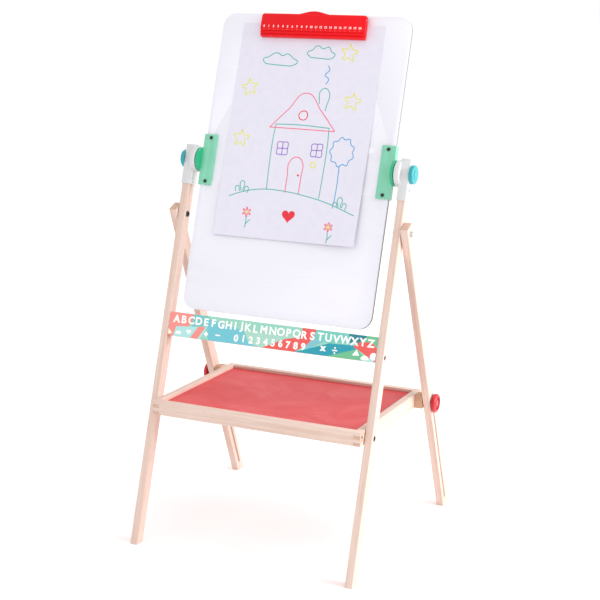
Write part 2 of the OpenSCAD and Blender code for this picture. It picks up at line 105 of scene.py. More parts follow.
class ShaderBench:
    """Puts one procedural material together, node by node."""

    def __init__(self, name: str) -> None:
        """Starts a material with a bare Principled shader.

        Args:
            name: The material's name.
        """
        self.material = bpy.data.materials.new(name)
        self.material.use_nodes = True
        self.tree = self.material.node_tree
        self.tree.nodes.clear()
        self.shader = self.tree.nodes.new("ShaderNodeBsdfPrincipled")
        out = self.tree.nodes.new("ShaderNodeOutputMaterial")
        self.tree.links.new(self.shader.outputs["BSDF"], out.inputs["Surface"])
        coordinates = self.tree.nodes.new("ShaderNodeTexCoord")
        self.place = coordinates.outputs["Object"]
        self.facing = coordinates.outputs["Normal"]

    def feed(self, socket: bpy.types.NodeSocket, value: object) -> None:
        """Links a socket to another one, or sets its number or colour.

        Args:
            socket: The input to feed.
            value: A node's output, a number, or a colour of three numbers.
        """
        if isinstance(value, bpy.types.NodeSocket):
            self.tree.links.new(value, socket)
        elif isinstance(value, tuple) and socket.type == "RGBA":
            socket.default_value = (*value[:3], 1.0)
        else:
            socket.default_value = value

    def stretched(self, lean: float, stretch: tuple[float, float, float]) -> bpy.types.NodeSocket:
        """Leans the part's own coordinates about X, then stretches them.

        Args:
            lean: The lean in degrees.
            stretch: How much longer the pattern is along each axis.

        Returns:
            The changed coordinates.
        """
        node = self.tree.nodes.new("ShaderNodeMapping")
        node.vector_type = "TEXTURE"
        self.feed(node.inputs["Vector"], self.place)
        node.inputs["Rotation"].default_value = (math.radians(lean), 0.0, 0.0)
        node.inputs["Scale"].default_value = stretch
        return node.outputs["Vector"]

    def end_faces(self, lean: float, axis: int) -> bpy.types.NodeSocket:
        """Finds the faces that look along the fibres.

        Args:
            lean: The fibres' lean about X in degrees.
            axis: The axis that they run along before the lean, 0 to 2.

        Returns:
            A mask that is 1 on those faces.
        """
        turned = self.tree.nodes.new("ShaderNodeMapping")
        turned.vector_type = "TEXTURE"
        self.feed(turned.inputs["Vector"], self.facing)
        turned.inputs["Rotation"].default_value = (math.radians(lean), 0.0, 0.0)
        parts = self.tree.nodes.new("ShaderNodeSeparateXYZ")
        self.feed(parts.inputs["Vector"], turned.outputs["Vector"])
        size = self.tree.nodes.new("ShaderNodeMath")
        size.operation = "ABSOLUTE"
        self.feed(size.inputs[0], parts.outputs[axis])
        return self.between(size.outputs["Value"], 0.82, 0.96)

    def noise(
        self, scale: float, detail: float = 3.0, where: object = None, twist: float = 0.0
    ) -> bpy.types.NodeSocket:
        """Adds a cloudy pattern.

        Args:
            scale: Patches in a metre.
            detail: How many finer layers it has.
            where: Coordinates, or None for the part's own.
            twist: How far the pattern is bent by itself.

        Returns:
            The pattern, from 0 to 1.
        """
        node = self.tree.nodes.new("ShaderNodeTexNoise")
        self.feed(node.inputs["Vector"], self.place if where is None else where)
        node.inputs["Scale"].default_value = scale
        node.inputs["Detail"].default_value = detail
        node.inputs["Distortion"].default_value = twist
        return node.outputs["Fac"]

    def between(
        self, value: object, low: float, high: float, to_low: float = 0.0, to_high: float = 1.0
    ) -> bpy.types.NodeSocket:
        """Stretches the part of a pattern from low to high over a new range, and clamps it.

        Args:
            value: The pattern.
            low: Where the range starts.
            high: Where the range ends.
            to_low: What low becomes.
            to_high: What high becomes.

        Returns:
            The new pattern.
        """
        node = self.tree.nodes.new("ShaderNodeMapRange")
        for name, number in zip(
            ("Value", "From Min", "From Max", "To Min", "To Max"),
            (value, low, high, to_low, to_high),
        ):
            self.feed(node.inputs[name], number)
        return node.outputs["Result"]

    def blend(
        self, amount: object, first: object, second: object, how: str = "MIX"
    ) -> bpy.types.NodeSocket:
        """Mixes two colours.

        Args:
            amount: How much of the second colour shows.
            first: The first colour.
            second: The second colour.
            how: Blender's name for the kind of mix.

        Returns:
            The mixed colour.
        """
        node = self.tree.nodes.new("ShaderNodeMix")
        node.data_type = "RGBA"
        node.blend_type = how
        self.feed(node.inputs[0], amount)
        self.feed(node.inputs[6], first)
        self.feed(node.inputs[7], second)
        return node.outputs[2]

    def relief(
        self, height: object, strength: float, depth: float, over: object = None
    ) -> bpy.types.NodeSocket:
        """Adds fine relief to the surface.

        Args:
            height: The pattern that stands up.
            strength: How strong it looks, 0 to 1.
            depth: Its depth in metres.
            over: Coarser relief below it, or None.

        Returns:
            The changed surface normal.
        """
        node = self.tree.nodes.new("ShaderNodeBump")
        self.feed(node.inputs["Height"], height)
        node.inputs["Strength"].default_value = strength
        node.inputs["Distance"].default_value = depth
        if over is not None:
            self.feed(node.inputs["Normal"], over)
        return node.outputs["Normal"]

    def finished(self, **sockets: object) -> bpy.types.Material:
        """Feeds the shader and gives the material back.

        Args:
            **sockets: The shader's inputs by name, with _ for a space.

        Returns:
            The finished material.
        """
        for name, value in sockets.items():
            self.feed(self.shader.inputs[name.replace("_", " ")], value)
        return self.material


@dataclass(frozen=True)
class BeechWood:
    """Bare sanded beech with fine straight fibres and short dark flecks."""

    name: str
    grain: Grain
    tone: Colour = shade(229, 207, 196)
    deep_tone: Colour = shade(213, 181, 164)
    end_tone: Colour = shade(190, 150, 122)

    def material(self) -> bpy.types.Material:
        """Makes the wood's material."""
        bench = ShaderBench(self.name)
        lean, stretch = self.grain.value
        along = bench.stretched(lean, stretch)
        short = bench.stretched(lean, tuple(max(1.0, s / 4) for s in stretch))
        bands = bench.noise(150, 4, along, 0.6)
        fibres = bench.noise(900, 3, along)
        clouds = bench.noise(9, 2)
        flecks = bench.noise(1500, 2, short)
        tone = bench.blend(bench.between(bands, 0.35, 0.72), self.tone, self.deep_tone)
        pale = bench.blend(bench.between(clouds, 0.3, 0.7, 0.0, 0.55), tone, self.tone)
        lined = bench.blend(
            bench.between(fibres, 0.35, 0.75, 0.0, 0.3), pale, self.deep_tone, "MULTIPLY"
        )
        colour = bench.blend(
            bench.between(flecks, 0.66, 0.74, 0.0, 0.45), lined, shade(165, 112, 82)
        )
        ends = bench.end_faces(lean, stretch.index(max(stretch)))
        rings = bench.noise(420, 4, None, 2.0)
        cut = bench.blend(bench.between(rings, 0.35, 0.65, 0.0, 0.6), self.end_tone, self.tone)
        colour = bench.blend(ends, colour, cut)
        normal = bench.relief(
            flecks, 0.15, 0.0002, bench.relief(fibres, 0.22, 0.0003)
        )
        return bench.finished(
            Base_Color=colour,
            Roughness=bench.between(fibres, 0.3, 0.7, 0.5, 0.68),
            Normal=normal,
            Specular_IOR_Level=0.35,
        )


@dataclass(frozen=True)
class MouldedPlastic:
    """Injection-moulded plastic: an even colour with faint flow marks and a fine skin."""

    name: str
    tone: Colour
    roughness: float = 0.28
    coat: float = 0.3
    marks: float = 0.1
    shine: float = 0.5

    def material(self) -> bpy.types.Material:
        """Makes the plastic's material."""
        bench = ShaderBench(self.name)
        flow = bench.noise(28, 4, None, 0.8)
        skin = bench.noise(2600, 2)
        dark = tuple(c * 0.82 for c in self.tone)
        colour = bench.blend(
            bench.between(flow, 0.35, 0.7, 0.0, self.marks * 4), self.tone, dark
        )
        return bench.finished(
            Base_Color=colour,
            Roughness=bench.between(flow, 0.3, 0.7, self.roughness, self.roughness + 0.1),
            Normal=bench.relief(skin, 0.06, 0.0001, bench.relief(flow, 0.03, 0.001)),
            Specular_IOR_Level=self.shine,
            Coat_Weight=self.coat,
            Coat_Roughness=0.12,
        )


@dataclass(frozen=True)
class PlatedSteel:
    """Turned and plated steel with faint rubbed streaks."""

    name: str
    tone: Colour = (0.62, 0.62, 0.63)
    roughness: float = 0.26
    metal: float = 1.0

    def material(self) -> bpy.types.Material:
        """Makes the steel's material."""
        bench = ShaderBench(self.name)
        streaks = bench.noise(1400, 3, bench.stretched(0.0, (9.0, 1.0, 1.0)))
        haze = bench.noise(190, 3)
        dull = tuple(c * 0.7 for c in self.tone)
        return bench.finished(
            Base_Color=bench.blend(bench.between(haze, 0.3, 0.75), self.tone, dull),
            Metallic=self.metal,
            Roughness=bench.between(streaks, 0.3, 0.7, self.roughness, self.roughness + 0.2),
            Normal=bench.relief(streaks, 0.12, 0.0001),
        )


@dataclass(frozen=True)
class LacqueredBoard:
    """Sprayed hardboard: fine orange peel, and scuffs where supplies slide about."""

    name: str
    tone: Colour
    scuff_tone: Colour
    scuffs: float = 0.35

    def material(self) -> bpy.types.Material:
        """Makes the lacquer's material."""
        bench = ShaderBench(self.name)
        peel = bench.noise(650, 3)
        patches = bench.noise(11, 4, None, 1.2)
        rubs = bench.noise(120, 5, bench.stretched(0.0, (7.0, 1.0, 1.0)), 0.5)
        worn = bench.between(rubs, 0.58, 0.75, 0.0, self.scuffs)
        shaded = bench.blend(
            bench.between(patches, 0.35, 0.7, 0.0, 0.4), self.tone,
            tuple(c * 0.86 for c in self.tone),
        )
        return bench.finished(
            Base_Color=bench.blend(worn, shaded, self.scuff_tone),
            Roughness=bench.between(patches, 0.3, 0.7, 0.42, 0.58),
            Normal=bench.relief(peel, 0.1, 0.0003),
        )


@dataclass(frozen=True)
class WhiteboardSkin:
    """The glossy writing face, with the faint ghosts of wiped-off marker."""

    name: str = "whiteboard_skin"
    tone: Colour = shade(234, 232, 241)

    def material(self) -> bpy.types.Material:
        """Makes the writing face's material."""
        bench = ShaderBench(self.name)
        wipes = bench.noise(17, 5, bench.stretched(24.0, (4.0, 1.0, 1.0)), 0.7)
        ripple = bench.noise(26, 2)
        ghost = bench.between(wipes, 0.5, 0.8, 0.0, 0.4)
        return bench.finished(
            Base_Color=bench.blend(ghost, self.tone, shade(221, 220, 231)),
            Roughness=bench.between(wipes, 0.35, 0.7, 0.2, 0.36),
            Normal=bench.relief(ripple, 0.04, 0.002),
            Coat_Weight=0.35,
            Coat_Roughness=0.15,
        )


@dataclass(frozen=True)
class ChalkboardSkin:
    """The matt slate-coloured face, with chalk dust rubbed over it."""

    name: str = "chalkboard_skin"
    tone: Colour = (0.028, 0.036, 0.034)
    dust: Colour = (0.34, 0.36, 0.35)

    def material(self) -> bpy.types.Material:
        """Makes the chalk face's material."""
        bench = ShaderBench(self.name)
        swipes = bench.noise(14, 6, bench.stretched(-30.0, (5.0, 1.0, 1.0)), 1.1)
        tooth = bench.noise(1700, 3)
        smear = bench.between(swipes, 0.48, 0.85, 0.02, 0.42)
        caught = bench.blend(bench.between(tooth, 0.4, 0.65, 0.4, 1.0), self.tone, self.dust)
        return bench.finished(
            Base_Color=bench.blend(smear, self.tone, caught),
            Roughness=0.88,
            Normal=bench.relief(tooth, 0.3, 0.0003),
            Specular_IOR_Level=0.25,
        )


@dataclass(frozen=True)
class DrawingPaper:
    """Smooth white drawing paper with a faint tooth and mottle."""

    name: str = "drawing_paper"
    tone: Colour = shade(226, 223, 235)

    def material(self) -> bpy.types.Material:
        """Makes the paper's material."""
        bench = ShaderBench(self.name)
        tooth = bench.noise(1900, 4)
        mottle = bench.noise(70, 4)
        return bench.finished(
            Base_Color=bench.blend(
                bench.between(mottle, 0.3, 0.75, 0.0, 0.5), self.tone, shade(218, 214, 229)
            ),
            Roughness=0.9,
            Normal=bench.relief(tooth, 0.25, 0.0002),
            Specular_IOR_Level=0.2,
        )


@dataclass(frozen=True)
class MattInk:
    """Felt-tip or printing ink: flat, with an uneven lay-down."""

    name: str
    tone: Colour
    unevenness: float = 0.35
    roughness: float = 0.7

    def material(self) -> bpy.types.Material:
        """Makes the ink's material."""
        bench = ShaderBench(self.name)
        pools = bench.noise(310, 4, None, 0.4)
        grain = bench.noise(2400, 2)
        weak = tuple(min(1.0, c * 0.72 + 0.2) for c in self.tone)
        colour = bench.blend(
            bench.between(pools, 0.42, 0.75, 0.0, self.unevenness), self.tone, weak
        )
        return bench.finished(
            Base_Color=colour,
            Roughness=self.roughness,
            Normal=bench.relief(grain, 0.1, 0.0001),
        )


@dataclass(frozen=True)
class PressedCore:
    """The grey pressed-board edge of the writing board, with short chips in it."""

    name: str = "pressed_core"
    tone: Colour = (0.36, 0.37, 0.38)

    def material(self) -> bpy.types.Material:
        """Makes the core's material."""
        bench = ShaderBench(self.name)
        chips = bench.noise(900, 5)
        return bench.finished(
            Base_Color=bench.blend(
                bench.between(chips, 0.3, 0.7), self.tone, tuple(c * 0.75 for c in self.tone)
            ),
            Roughness=0.8,
            Normal=bench.relief(chips, 0.3, 0.0003),
        )


@dataclass(frozen=True)
class StudioPaper:
    """The plain pale ground that the easel stands on."""

    name: str = "studio_ground"
    tone: Colour = (0.955, 0.955, 0.955)

    def material(self) -> bpy.types.Material:
        """Makes the ground's material."""
        bench = ShaderBench(self.name)
        fibre = bench.noise(35, 3)
        return bench.finished(
            Base_Color=bench.blend(
                bench.between(fibre, 0.3, 0.7, 0.0, 0.3), self.tone, (0.94, 0.94, 0.94)
            ),
            Roughness=0.95,
            Specular_IOR_Level=0.1,
            Emission_Color=(1.0, 1.0, 1.0),
            Emission_Strength=0.07,
        )


# ---- Workshop: modelling moves that every class uses ----


class Workshop:
    """Selecting, easing, placing and finishing of meshes."""

    WELD: ClassVar[float] = 1e-6
    FLAT_ANGLE: ClassVar[float] = 0.6
    EDGE_ANGLE: ClassVar[float] = 38.0

    @staticmethod
    def clear() -> None:
        """Deselects everything."""
        for thing in bpy.context.selected_objects:
            thing.select_set(False)

    @classmethod
    def hold(cls, piece: bpy.types.Object) -> None:
        """Makes a piece the only one that is selected, and the active one.

        Args:
            piece: The piece to work on.
        """
        cls.clear()
        piece.select_set(True)
        bpy.context.view_layer.objects.active = piece

    @classmethod
    def apply(cls, piece: bpy.types.Object, kind: str, **settings: object) -> None:
        """Adds a modifier to a piece and applies it.

        Args:
            piece: The piece to change.
            kind: Blender's name for the modifier.
            **settings: The modifier's settings.
        """
        cls.hold(piece)
        modifier = piece.modifiers.new(kind.lower(), kind)
        for name, value in settings.items():
            setattr(modifier, name, value)
        bpy.ops.object.modifier_apply(modifier=modifier.name)

    @classmethod
    def seat(cls, piece: bpy.types.Object, where: Matrix) -> None:
        """Moves a piece's mesh into place and leaves its object at the origin.

        Args:
            piece: A piece that was modelled round the origin.
            where: The place that it goes to.
        """
        cls.hold(piece)
        piece.matrix_world = where @ piece.matrix_world
        bpy.ops.object.transform_apply(location=True, rotation=True, scale=True)

    @classmethod
    def smooth(cls, piece: bpy.types.Object, angle: float = 32.0) -> None:
        """Shades a piece smooth, except over edges sharper than an angle.

        Args:
            piece: The piece.
            angle: The angle in degrees.
        """
        cls.hold(piece)
        bpy.ops.object.shade_smooth_by_angle(angle=math.radians(angle))

    @staticmethod
    def coat(piece: bpy.types.Object, material: bpy.types.Material) -> None:
        """Gives a piece one material all over.

        Args:
            piece: The piece.
            material: Its material.
        """
        if piece.data.materials:
            for slot in range(len(piece.data.materials)):
                piece.data.materials[slot] = material
        else:
            piece.data.materials.append(material)

    @classmethod
    def to_mesh(cls, piece: bpy.types.Object) -> bpy.types.Object:
        """Turns a curve or text into a mesh.

        Args:
            piece: The curve or text.

        Returns:
            The mesh object.
        """
        cls.hold(piece)
        bpy.ops.object.convert(target="MESH")
        return bpy.context.view_layer.objects.active

    @classmethod
    def join(cls, pieces: list[bpy.types.Object], name: str) -> bpy.types.Object:
        """Joins meshes into one.

        Args:
            pieces: The meshes.
            name: The joined piece's name.

        Returns:
            The joined piece.
        """
        cls.hold(pieces[0])
        for piece in pieces:
            piece.select_set(True)
        if len(pieces) > 1:
            bpy.ops.object.join()
        joined = bpy.context.view_layer.objects.active
        joined.name = name
        joined.data.name = name
        return joined

    @classmethod
    def eased(cls, node: str, width: float, segments: int = 2) -> bpy.types.Object:
        """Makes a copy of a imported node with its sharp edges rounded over, to show in its place.

        Args:
            node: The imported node's name.
            width: The width of the rounding in millimetres.
            segments: The steps in the rounding.

        Returns:
            The copy, riding on the node's body.
        """
        source = frame["nodes"][node]
        piece = bpy.data.objects.new(f"{node}_eased", source.data.copy())
        bpy.context.scene.collection.objects.link(piece)
        cls.hold(piece)
        piece.data.materials.clear()
        bpy.ops.object.mode_set(mode="EDIT")
        bpy.ops.mesh.select_all(action="SELECT")
        bpy.ops.mesh.remove_doubles(threshold=cls.WELD)
        bpy.ops.mesh.customdata_custom_splitnormals_clear()
        bpy.ops.mesh.dissolve_limited(angle_limit=math.radians(cls.FLAT_ANGLE))
        bpy.ops.object.mode_set(mode="OBJECT")
        cls.apply(
            piece, "BEVEL", width=width * MM, segments=segments, limit_method="ANGLE",
            angle_limit=math.radians(cls.EDGE_ANGLE), use_clamp_overlap=True, harden_normals=False,
            miter_outer="MITER_ARC",
        )
        cls.smooth(piece)
        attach(piece, frame_body(node))
        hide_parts(node)
        return piece


def frame_body(node: str) -> str:
    """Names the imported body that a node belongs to.

    Args:
        node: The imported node's name.

    Returns:
        The body's name.
    """
    groups = frame["record"]["behaviour"]["bodies"]
    return next(body for body, members in groups.items() if node in members)


@dataclass
class Assembly:
    """What every sub-assembly does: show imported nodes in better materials, or eased copies."""

    def dress(self, material: bpy.types.Material, *nodes: str) -> None:
        """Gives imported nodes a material.

        Args:
            material: The material.
            *nodes: The nodes' names.
        """
        for node in nodes:
            Workshop.coat(frame["nodes"][node], material)
            log.info("node %s wears %s", node, material.name)

    def ease(self, material: bpy.types.Material, width: float, *nodes: str) -> None:
        """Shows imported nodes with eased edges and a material.

        Args:
            material: The material.
            width: The width of the rounding in millimetres.
            *nodes: The nodes' names.
        """
        for node in nodes:
            piece = Workshop.eased(node, width)
            Workshop.coat(piece, material)
            log.info("node %s is eased by %.1f mm and wears %s", node, width, material.name)


# ---- Camera and studio ----


@dataclass
class Viewpoint:
    """The camera: where it looks from round the easel, in degrees and metres."""

    azimuth: float = 24.4645
    elevation: float = 13.0339
    roll: float = 0.7726
    distance: float = 2.3908
    side: float = 0.12225
    height: float = 0.52261
    lens: float = 82.17

    def build(self) -> bpy.types.Object:
        """Makes the camera and hands it to the scene."""
        az, el, roll = (math.radians(a) for a in (self.azimuth, self.elevation, self.roll))
        back = Vector((math.sin(az) * math.cos(el), -math.cos(az) * math.cos(el), math.sin(el)))
        level = Vector((math.cos(az), math.sin(az), 0.0))
        up = back.cross(level)
        right = level * math.cos(roll) + up * math.sin(roll)
        up = up * math.cos(roll) - level * math.sin(roll)
        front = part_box("front_leg_left")[0].y
        where = Vector((self.side, front, self.height)) + back * self.distance
        bpy.ops.object.camera_add(location=where)
        camera = bpy.context.view_layer.objects.active
        camera.name = "viewpoint"
        camera.matrix_world = Matrix(
            [(right[i], up[i], back[i], where[i]) for i in range(3)] + [(0, 0, 0, 1)]
        )
        camera.data.lens = self.lens
        camera.data.sensor_width = 36.0
        camera.data.clip_end = 200.0
        bpy.context.scene.camera = camera
        log.info("camera at %.2f, %.2f, %.2f", *where)
        return camera


@dataclass
class Studio:
    """A plain pale ground, a bright even surround and soft lights from the right."""

    ground_radius: float = 40.0
    surround: float = 1.0
    lights: tuple[tuple[str, tuple[float, float, float], float, float], ...] = (
        ("key", (3.1, 0.3, 1.4), 1.8, 88.0),
        ("top", (0.6, 1.2, 3.2), 2.2, 14.0),
    )

    def build(self) -> None:
        """Makes the ground, the surround and the lights."""
        self.lay_ground()
        world = bpy.data.worlds.new("studio_surround")
        world.use_nodes = True
        sky = world.node_tree.nodes["Background"]
        sky.inputs["Color"].default_value = (1.0, 1.0, 1.0, 1.0)
        sky.inputs["Strength"].default_value = self.surround
        bpy.context.scene.world = world
        bpy.context.scene.view_settings.view_transform = "Standard"
        for name, place, size, power in self.lights:
            self.hang_light(name, Vector(place), size, power)
        log.info("studio with %d lights", len(self.lights))

    def lay_ground(self) -> None:
        """Makes the ground: a wide disc with a finer ring in its middle."""
        Workshop.clear()
        bpy.ops.mesh.primitive_circle_add(
            vertices=96, radius=self.ground_radius, fill_type="NGON", location=(0, 0, 0)
        )
        ground = bpy.context.view_layer.objects.active
        ground.name = "studio_ground"
        bpy.ops.object.mode_set(mode="EDIT")
        bpy.ops.mesh.select_all(action="SELECT")
        bpy.ops.mesh.inset(thickness=self.ground_radius * 0.5)
        bpy.ops.object.mode_set(mode="OBJECT")
        Workshop.coat(ground, StudioPaper().material())

    def hang_light(self, name: str, place: Vector, size: float, power: float) -> None:
        """Hangs one square soft light that faces the easel's middle.

        Args:
            name: The light's name.
            place: Where it hangs, in metres.
            size: Its side in metres.
            power: Its power in watts.
        """
        aim = (Vector((0.0, 0.0, 0.55)) - place).to_track_quat("-Z", "Y").to_euler()
        bpy.ops.object.light_add(type="AREA", location=place, rotation=aim)
        light = bpy.context.view_layer.objects.active
        light.name = f"light_{name}"
        light.data.size = size
        light.data.energy = power


# ---- Wooden frame and tray ----


@dataclass
class FrontFrame(Assembly):
    """The two front legs, their caps and the rail between them."""

    leg_ease: float = 0.7
    rail_ease: float = 0.6
    cap_ease: float = 1.0

    def build(self) -> None:
        """Shows the front frame's parts in their finishes."""
        legs = BeechWood("beech_front_legs", Grain.FRONT_LEG).material()
        rail = BeechWood("beech_rails", Grain.ACROSS).material()
        caps = MouldedPlastic(
            "cap_plastic", shade(211, 211, 213), roughness=0.33, coat=0.15, marks=0.04
        ).material()
        steel = PlatedSteel("zinc_steel").material()
        dark = PlatedSteel(
            "blackened_steel", (0.04, 0.04, 0.042), roughness=0.34, metal=0.7
        ).material()
        nylon = MouldedPlastic(
            "nylon_washer", shade(238, 238, 232), roughness=0.5, coat=0.0, marks=0.08
        ).material()
        self.ease(legs, self.leg_ease, "front_leg_left", "front_leg_right")
        self.ease(rail, self.rail_ease, "letter_rail")
        self.ease(caps, self.cap_ease, "leg_cap_left", "leg_cap_right")
        self.dress(dark, "letter_rail_bolts", "leg_pivot_bolts")
        self.dress(steel, "leg_pivot_nuts", "leg_cap_screws")
        self.dress(nylon, "leg_pivot_washers")


@dataclass
class BackLegs(Assembly):
    """The two slotted back legs and the clamps that run in their slots."""

    leg_ease: float = 0.7
    knob_ease: float = 0.5

    def build(self) -> None:
        """Shows the back legs and their clamps in their finishes."""
        wood = BeechWood("beech_back_legs", Grain.BACK_LEG).material()
        knob = MouldedPlastic(
            "clamp_knob_plastic", shade(194, 6, 28), roughness=0.24, coat=0.2
        ).material()
        steel = PlatedSteel("clamp_steel").material()
        self.ease(wood, self.leg_ease, "rear_leg_left", "rear_leg_right")
        self.dress(steel, "clamp_washer_left", "clamp_washer_right")
        self.dress(steel, "clamp_stud_left", "clamp_stud_right")
        self.dress(knob, "clamp_knob_left", "clamp_knob_right")


@dataclass
class Tray(Assembly):
    """The rails, the red panel and the fittings of the tray."""

    rail_ease: float = 0.8

    def build(self) -> None:
        """Shows the tray's parts in their finishes."""
        across = BeechWood("beech_tray_rails", Grain.ACROSS).material()
        deep = BeechWood("beech_tray_sides", Grain.FORE_AND_AFT).material()
        # The spacers wear a darker copy of the beech: the grain is real, the darker tone is painted shade for the
        # shadow that the tray's side rails cast on them.
        spacer_painted_shade = BeechWood(
            "beech_spacers_painted_shade", Grain.FORE_AND_AFT,
            tone=shade(214, 172, 138), deep_tone=shade(184, 132, 96),
        ).material()
        panel = LacqueredBoard(
            "tray_red_lacquer", shade(214, 62, 66), shade(232, 118, 114)
        ).material()
        brass = PlatedSteel("brass", (0.72, 0.5, 0.2), roughness=0.28).material()
        dark = PlatedSteel(
            "tray_bolt_steel", (0.06, 0.06, 0.065), roughness=0.34, metal=0.8
        ).material()
        self.ease(across, self.rail_ease, "tray_front_rail", "tray_rear_rail")
        self.ease(deep, self.rail_ease, "tray_side_left", "tray_side_right")
        self.ease(spacer_painted_shade, self.rail_ease, "tray_spacer_left", "tray_spacer_right")
        self.dress(panel, "tray_panel")
        self.dress(brass, "tray_inserts")
        self.dress(dark, "tray_pivot_bolts", "tray_screws")


# ---- Flat work: print, ink and paper ----


class FlatWork:
    """Shapes drawn on a flat face: X across, Y up, Z out of the face."""

    CAPITAL_SHARE: ClassVar[float] = 0.73

    @staticmethod
    def outline(
        name: str, lines: list[list[Point]], closed: bool, rounded: bool
    ) -> bpy.types.Object:
        """Draws lines as one flat curve.

        Args:
            name: The curve's name.
            lines: Each line's points in millimetres.
            closed: Whether each line returns to its start.
            rounded: Whether the line bends smoothly through its points.

        Returns:
            The curve.
        """
        curve = bpy.data.curves.new(name, "CURVE")
        curve.dimensions = "2D"
        curve.resolution_u = 8
        for line in lines:
            spline = curve.splines.new("BEZIER")
            spline.bezier_points.add(len(line) - 1)
            for point, (x, y) in zip(spline.bezier_points, line):
                point.co = (x * MM, y * MM, 0.0)
                kind = "AUTO" if rounded else "VECTOR"
                point.handle_left_type = point.handle_right_type = kind
            spline.use_cyclic_u = closed
        piece = bpy.data.objects.new(name, curve)
        bpy.context.scene.collection.objects.link(piece)
        return piece

    @classmethod
    def patch(
        cls, name: str, corners: list[Point], height: float, rounded: bool = False
    ) -> bpy.types.Object:
        """Makes a thin filled patch of ink.

        Args:
            name: The patch's name.
            corners: Its corners in millimetres.
            height: How far it stands out of the face, in millimetres.
            rounded: Whether its outline bends smoothly through its corners.

        Returns:
            The patch as a mesh.
        """
        piece = cls.outline(name, [corners], closed=True, rounded=rounded)
        piece.data.fill_mode = "BOTH"
        piece.data.extrude = height * MM
        return Workshop.to_mesh(piece)

    @staticmethod
    def wheel(
        middle: Point, step: float, count: int, *spokes: Point, start: float = 0.0
    ) -> list[Point]:
        """Lays points round a middle.

        Args:
            middle: The middle, in millimetres.
            step: The angle from one point to the next, in degrees.
            count: How many points there are.
            *spokes: How far out a point lies, across and up; used in turn.
            start: The first point's angle, in degrees.

        Returns:
            The points.
        """
        made = []
        for number in range(count):
            angle = math.radians(start + step * number)
            across, up = spokes[number % len(spokes)]
            made.append(
                (middle[0] + across * math.cos(angle), middle[1] + up * math.sin(angle))
            )
        return made

    @classmethod
    def characters(
        cls, text: str, height: float, middle: Point, bold: float, rise: float
    ) -> bpy.types.Object:
        """Makes a thin character or number, centred on a point.

        Args:
            text: What it says.
            height: The height of a capital in millimetres.
            middle: Its middle in millimetres.
            bold: How much each stroke is thickened, in millimetres.
            rise: How far it stands out of the face, in millimetres.

        Returns:
            The characters as a mesh.
        """
        Workshop.clear()
        bpy.ops.object.text_add(location=(0, 0, 0))
        piece = bpy.context.view_layer.objects.active
        piece.data.body = text
        piece.data.size = height * MM / cls.CAPITAL_SHARE
        piece.data.offset = bold * MM
        piece.data.extrude = rise * MM
        piece.data.resolution_u = 4
        piece.data.align_x = "CENTER"
        piece = Workshop.to_mesh(piece)
        low = min(v.co.y for v in piece.data.vertices)
        high = max(v.co.y for v in piece.data.vertices)
        left = min(v.co.x for v in piece.data.vertices)
        right = max(v.co.x for v in piece.data.vertices)
        Workshop.seat(
            piece,
            Matrix.Translation(
                (middle[0] * MM - (left + right) / 2, middle[1] * MM - (low + high) / 2, 0)
            ),
        )
        return piece


